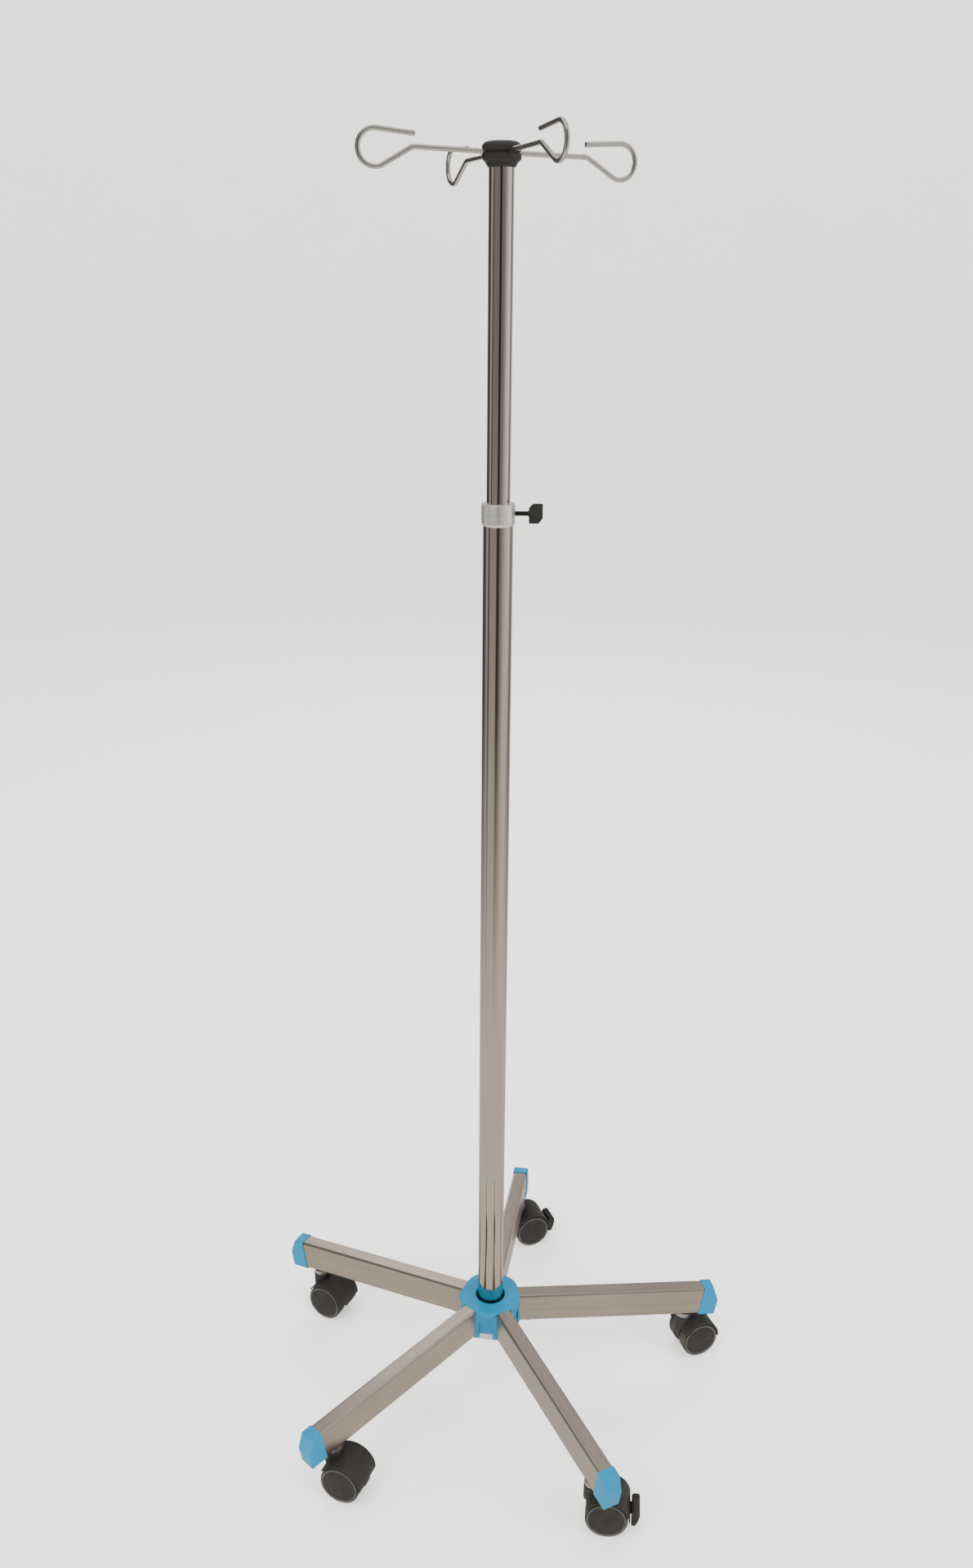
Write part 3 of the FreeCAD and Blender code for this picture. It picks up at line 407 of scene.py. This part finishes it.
def add_screw_cross(material):
    """Cross recess of the screw on top of the head, shown as a dark cross: painted shade of the recess."""
    arm, half = CROSS_ARM, CROSS_HALF_WIDTH
    outline = [
        (arm, -half), (arm, half), (half, half), (half, arm), (-half, arm), (-half, half),
        (-arm, half), (-arm, -half), (-half, -half), (-half, -arm), (half, -arm), (half, -half),
    ]
    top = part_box("head_screw")[1][2]
    place = Matrix.Translation((0, 0, top))
    add_prism("head_screw_recess_shade", "mast", place, outline, -CROSS_DEPTH, CROSS_RISE, material)


def add_pedal_ribs(material):
    """Grip ribs across the two toe pads of each brake pedal."""
    joints = {joint["name"]: joint for joint in frame["joints"]}
    for number in BRAKED_CASTERS:
        pivot = Vector(joints[f"brake_{number}_press"]["pos_m"])
        outward = pivot - Vector(joints[f"caster_{number}_swivel"]["pos_m"])
        outward.z = 0
        outward.normalize()
        across = Vector((0, 0, 1)).cross(outward)
        place = Matrix((outward, across, (0, 0, 1))).transposed().to_4x4()
        place.translation = pivot
        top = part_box(f"brake_pedal_{number}")[1][2] - pivot.z
        for row, reach in enumerate(RIB_REACHES, 1):
            for side, name in ((-1, "left"), (1, "right")):
                start, end = sorted((side * RIB_START, side * RIB_END))
                outline = (
                    (reach - RIB_HALF_WIDTH, start), (reach + RIB_HALF_WIDTH, start),
                    (reach + RIB_HALF_WIDTH, end), (reach - RIB_HALF_WIDTH, end),
                )
                add_prism(f"pedal_{number}_rib_{name}_{row}", f"pedal_{number}", place,
                          outline, top - RIB_DEPTH, top + RIB_HEIGHT, material)


# ---------------------------------------------------------------- stage, lights and camera

def add_floor():
    """Pale floor that curves up into a wall far away on every side."""
    profile = [(FLOOR_START, 0.0), (FLOOR_FLAT, 0.0)]
    for step in range(1, FLOOR_BEND_STEPS + 1):
        turn = math.radians(90 * step / FLOOR_BEND_STEPS)
        profile.append((FLOOR_FLAT + FLOOR_BEND * math.sin(turn), FLOOR_BEND - FLOOR_BEND * math.cos(turn)))
    profile.append((FLOOR_FLAT + FLOOR_BEND, FLOOR_WALL))
    work = bmesh.new()
    points = [work.verts.new((reach, 0, height)) for reach, height in profile]
    edges = [work.edges.new(pair) for pair in zip(points, points[1:])]
    bmesh.ops.spin(work, geom=points + edges, cent=(0, 0, 0), axis=(0, 0, 1), angle=math.tau,
                   steps=STUDIO_SIDES, use_merge=True)
    bmesh.ops.recalc_face_normals(work, faces=work.faces)
    mesh = bpy.data.meshes.new("studio_floor")
    work.to_mesh(mesh)
    work.free()
    for face in mesh.polygons:
        face.use_smooth = True
    floor = bpy.data.objects.new("studio_floor", mesh)
    bpy.context.collection.objects.link(floor)
    surface = Surface("studio_paper", 0.9)
    paper = surface.noise(3, detail=2)
    surface.colour(surface.blend(surface.between(paper, 0, 1), PAPER, PAPER_LIGHT))
    surface.shader.inputs["Emission Color"].default_value = (1, 1, 1, 1)
    surface.shader.inputs["Emission Strength"].default_value = PAPER_GLOW
    mesh.materials.append(surface.material)


def add_surround():
    """Ring of light and dark panels round a pale disc, seen only in reflections."""
    work = bmesh.new()
    ring = bmesh.ops.create_circle(work, cap_ends=True, radius=SURROUND_REACH, segments=STUDIO_SIDES)
    bmesh.ops.translate(work, verts=ring["verts"], vec=(0, 0, SURROUND_BOTTOM))
    rim = [edge for edge in work.edges if edge.is_boundary]
    raised = bmesh.ops.extrude_edge_only(work, edges=rim)["geom"]
    corners = [item for item in raised if isinstance(item, bmesh.types.BMVert)]
    bmesh.ops.translate(work, verts=corners, vec=(0, 0, SURROUND_TOP - SURROUND_BOTTOM))
    mesh = bpy.data.meshes.new("studio_surround")
    work.to_mesh(mesh)
    work.free()
    panels = bpy.data.objects.new("studio_surround", mesh)
    bpy.context.collection.objects.link(panels)
    panels.visible_camera = False
    panels.visible_diffuse = False
    panels.visible_shadow = False
    surface = Surface("surround_panels", 1.0)
    split = surface.nodes.new("ShaderNodeSeparateXYZ")
    surface.links.new(surface.place, split.inputs["Vector"])
    across, away, height = split.outputs
    azimuth = surface.math("ARCTAN2", away, across)
    offset = surface.math("SUBTRACT", azimuth, math.radians(CAMERA_AZIMUTH - 180))
    turned = surface.math("WRAP", offset, math.pi, -math.pi)
    place = surface.between(turned, 0, 1, -math.pi, math.pi)
    ramps = []
    for column in (1, 2):
        node = surface.nodes.new("ShaderNodeValToRGB")
        surface.links.new(place, node.inputs["Fac"])
        elements = node.color_ramp.elements
        for index, band in enumerate(SURROUND_BANDS):
            spot = (band[0] + 180) / 360
            element = elements[index] if index < 2 else elements.new(spot)
            element.position = spot
            element.color = (*(band[column] * tint for tint in WARM), 1)
        ramps.append(node.outputs["Color"])
    bands = surface.blend(surface.between(height, 0, 1, *BAND_HEIGHTS), *ramps)
    flat = surface.vector("LENGTH", surface.vector("MULTIPLY", surface.place, (1, 1, 0)))
    level = surface.math("ADD", height, surface.math("SUBTRACT", flat, SURROUND_REACH))
    glow = surface.blend(surface.between(level, 0, 1, *FOOT_LEVELS), FOOT_GLOW, bands)
    surface.links.new(glow, surface.shader.inputs["Emission Color"])
    surface.shader.inputs["Emission Strength"].default_value = 1.0
    surface.shader.inputs["Base Color"].default_value = (0, 0, 0, 1)
    surface.shader.inputs["Specular IOR Level"].default_value = 0.0
    mesh.materials.append(surface.material)


def add_softbox(name, azimuth, reach, height, width, tall, power):
    """Rectangular soft light that faces the pole and leaves no reflection of itself."""
    light = bpy.data.lights.new(name, "AREA")
    light.shape = "RECTANGLE"
    light.size = width
    light.size_y = tall
    light.energy = power
    lamp = bpy.data.objects.new(name, light)
    turn = math.radians(azimuth)
    lamp.location = (reach * math.cos(turn), reach * math.sin(turn), height)
    towards = Vector((0, 0, AIM_HEIGHT)) - lamp.location
    lamp.rotation_euler = towards.to_track_quat("-Z", "Y").to_euler()
    lamp.visible_glossy = False
    bpy.context.collection.objects.link(lamp)


def add_lights():
    for softbox in SOFTBOXES:
        add_softbox(*softbox)
    world = bpy.data.worlds.new("studio")
    world.use_nodes = True
    background = world.node_tree.nodes["Background"]
    background.inputs["Color"].default_value = (*WARM, 1)
    background.inputs["Strength"].default_value = 1.0
    bpy.context.scene.world = world


def add_camera():
    azimuth = math.radians(CAMERA_AZIMUTH)
    pitch = math.radians(CAMERA_PITCH)
    forward = Vector((
        math.cos(azimuth) * math.cos(pitch),
        math.sin(azimuth) * math.cos(pitch),
        math.sin(pitch),
    ))
    data = bpy.data.cameras.new("camera")
    data.sensor_fit = "AUTO"
    data.sensor_width = SENSOR_LONG_SIDE
    data.lens = CAMERA_LENS
    camera = bpy.data.objects.new("camera", data)
    level = forward.to_track_quat("-Z", "Y")
    roll = Matrix.Rotation(math.radians(CAMERA_ROLL), 4, "Z")
    camera.matrix_world = Matrix.Translation(CAMERA_PLACE) @ level.to_matrix().to_4x4() @ roll
    bpy.context.collection.objects.link(camera)
    bpy.context.scene.camera = camera


black_plastic, recess_shade_steel = paint_stand()
# The screw's cross is black oxide laid on zinc: painted shade of its recess.
add_screw_cross(recess_shade_steel)
add_pedal_ribs(black_plastic)
add_floor()
add_surround()
add_lights()
add_camera()
